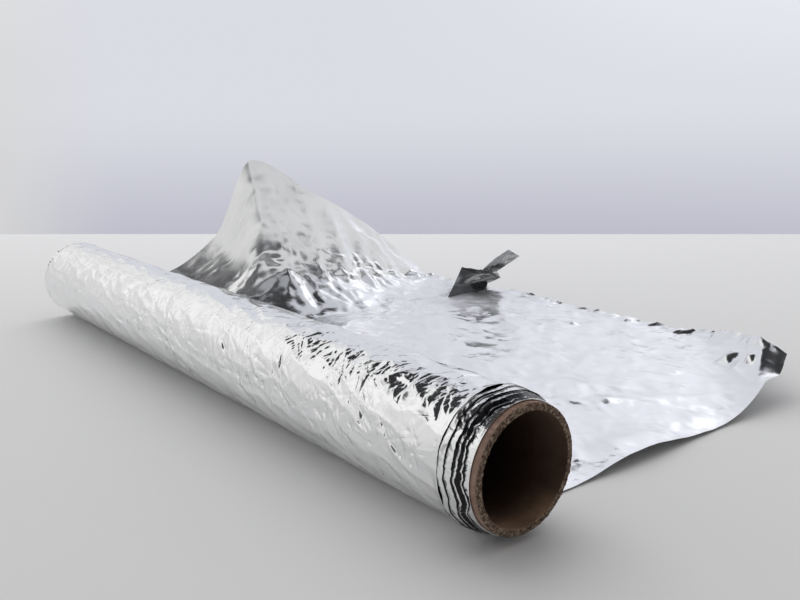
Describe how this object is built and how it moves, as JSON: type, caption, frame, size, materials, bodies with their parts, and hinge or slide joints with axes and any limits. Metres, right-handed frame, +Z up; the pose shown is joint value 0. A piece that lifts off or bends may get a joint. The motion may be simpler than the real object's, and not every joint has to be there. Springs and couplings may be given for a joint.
{
  "type": "aluminium foil roll",
  "caption": "Household aluminium foil wound on a cardboard tube, with a torn length unrolled flat beside it, one margin raised and one corner curled.",
  "frame": {"origin": "on the table, under the roll's axis, midway along the cardboard tube", "axes": "+X along the roll, towards the end where the tube stands out of the turns; +Y along the unrolled sheet; +Z up"},
  "size_m": [0.3039, 0.2201, 0.0758],
  "materials": {
    "foil": "bright, finely creased",
    "cardboard": "matt, fibrous"
  },
  "bodies": {
    "root": {"core_tube": "cardboard", "foil_turns": "foil", "foil_sheet": "foil"}
  },
  "joints": []
}
